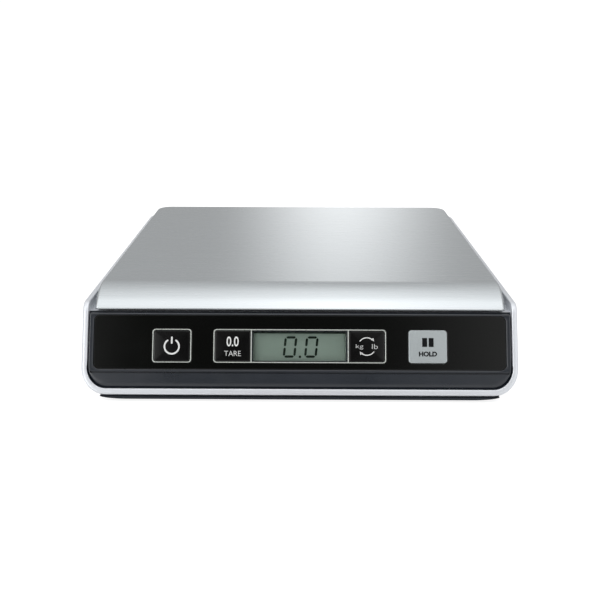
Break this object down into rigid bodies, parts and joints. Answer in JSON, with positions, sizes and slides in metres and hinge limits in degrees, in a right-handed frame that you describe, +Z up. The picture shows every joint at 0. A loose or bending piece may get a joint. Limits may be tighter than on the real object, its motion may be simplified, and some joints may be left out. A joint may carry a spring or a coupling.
{
  "type": "platform shipping scale",
  "caption": "Low bench scale with a square stainless weighing platform on one load cell, and a leaning front fascia with a display window, chrome frames and press keys.",
  "frame": {"origin": "on the floor under the middle of the scale, the bottom centre of its bounding box", "axes": "+X across to the right as seen from the front, +Y from the fascia to the back, +Z up"},
  "size_m": [0.215, 0.226, 0.051],
  "materials": {
    "stainless": "brushed along the depth, satin",
    "silver_paint": "satin silver paint on moulded plastic",
    "base_plastic": "fine moulded texture, dark grey",
    "bezel_plastic": "anthracite, fine satin texture",
    "black_gloss": "polished black panel",
    "chrome": "bright satin chrome",
    "key_black": "semi-gloss black",
    "key_silver": "satin silver",
    "window_clear": "clear acrylic",
    "black_foam": "closed-cell foam",
    "lcd_glass": "grey-green display under a polariser",
    "white_plastic": "moulded white",
    "white_silicone": "soft potting compound",
    "soft_rubber": "matt black",
    "zebra_rubber": "striped conductive rubber",
    "grey_abs": "moulded dark grey",
    "zinc_steel": "zinc plated",
    "socket_steel": "tin plated",
    "contact_nickel": "nickel plated",
    "aluminium": "machined",
    "board_green": "solder mask over glass fibre",
    "chip_black": "moulded epoxy",
    "switch_black": "moulded black",
    "capacitor_sleeve": "shrink sleeve",
    "cable_grey": "PVC insulation",
    "cable_red": "PVC insulation",
    "battery_sleeve": "printed sleeve with no markings"
  },
  "bodies": {
    "base": {"load_cell": "aluminium", "gauge_potting": "white_silicone", "base_spacer": "zinc_steel", "load_cell_base_screws": "zinc_steel", "overload_stops": "zinc_steel", "stop_locknuts": "zinc_steel", "upper_housing": "silver_paint", "base_tray": "base_plastic", "feet": "soft_rubber", "case_screws": "zinc_steel", "fascia_bezel": "bezel_plastic", "bezel_screws": "zinc_steel", "fascia_panel": "black_gloss", "display_frame": "chrome", "power_ring": "chrome", "display_window": "window_clear", "display_gasket": "black_foam", "lcd_glass": "lcd_glass", "lcd_holder": "white_plastic", "lcd_reflector": "white_plastic", "zebra_strips": "zebra_rubber", "display_board": "board_green", "display_board_screws": "zinc_steel", "tact_switches": "switch_black", "switch_domes": "zinc_steel", "main_board": "board_green", "main_board_screws": "zinc_steel", "board_chips": "chip_black", "board_capacitors": "capacitor_sleeve", "board_connectors": "white_plastic", "usb_socket": "socket_steel", "usb_tongue": "switch_black", "display_ribbon": "cable_grey", "load_cell_lead": "cable_grey", "battery_leads": "cable_red", "battery_contacts": "contact_nickel", "battery_springs": "contact_nickel", "batteries": "battery_sleeve"},
    "platform": {"platform": "stainless", "platform_pads": "soft_rubber", "platform_support": "grey_abs", "top_spacer": "zinc_steel", "load_cell_top_screws": "zinc_steel"},
    "power_key": {"power_button": "key_black", "power_plunger": "white_plastic"},
    "tare_key": {"tare_button": "key_black", "tare_plunger": "white_plastic"},
    "unit_key": {"unit_button": "key_black", "unit_plunger": "white_plastic"},
    "hold_key": {"hold_button": "key_silver", "hold_plunger": "white_plastic"},
    "battery_door": {"battery_door": "base_plastic"}
  },
  "joints": [
    {"name": "platform_load", "type": "slide", "parent": "base", "child": "platform", "axis": [0, 0, -1], "range_m": [0, 0.0007], "stiffness_N_per_m": 140000, "springref_m": -0.00008, "deforming": ["load_cell"]},
    {"name": "power_press", "type": "slide", "parent": "base", "child": "power_key", "axis": [0, 0.9135, -0.4067], "range_m": [0, 0.0006], "stiffness_N_per_m": 2500, "springref_m": -0.0002},
    {"name": "tare_press", "type": "slide", "parent": "base", "child": "tare_key", "axis": [0, 0.9135, -0.4067], "range_m": [0, 0.0006], "stiffness_N_per_m": 2500, "springref_m": -0.0002},
    {"name": "unit_press", "type": "slide", "parent": "base", "child": "unit_key", "axis": [0, 0.9135, -0.4067], "range_m": [0, 0.0006], "stiffness_N_per_m": 2500, "springref_m": -0.0002},
    {"name": "hold_press", "type": "slide", "parent": "base", "child": "hold_key", "axis": [0, 0.9135, -0.4067], "range_m": [0, 0.0006], "stiffness_N_per_m": 2500, "springref_m": -0.0002},
    {"name": "battery_door_hinge", "type": "hinge", "parent": "base", "child": "battery_door", "pos_m": [-0.066, -0.0262, 0.0016], "axis": [-1, 0, 0], "range_deg": [0, 90]}
  ]
}
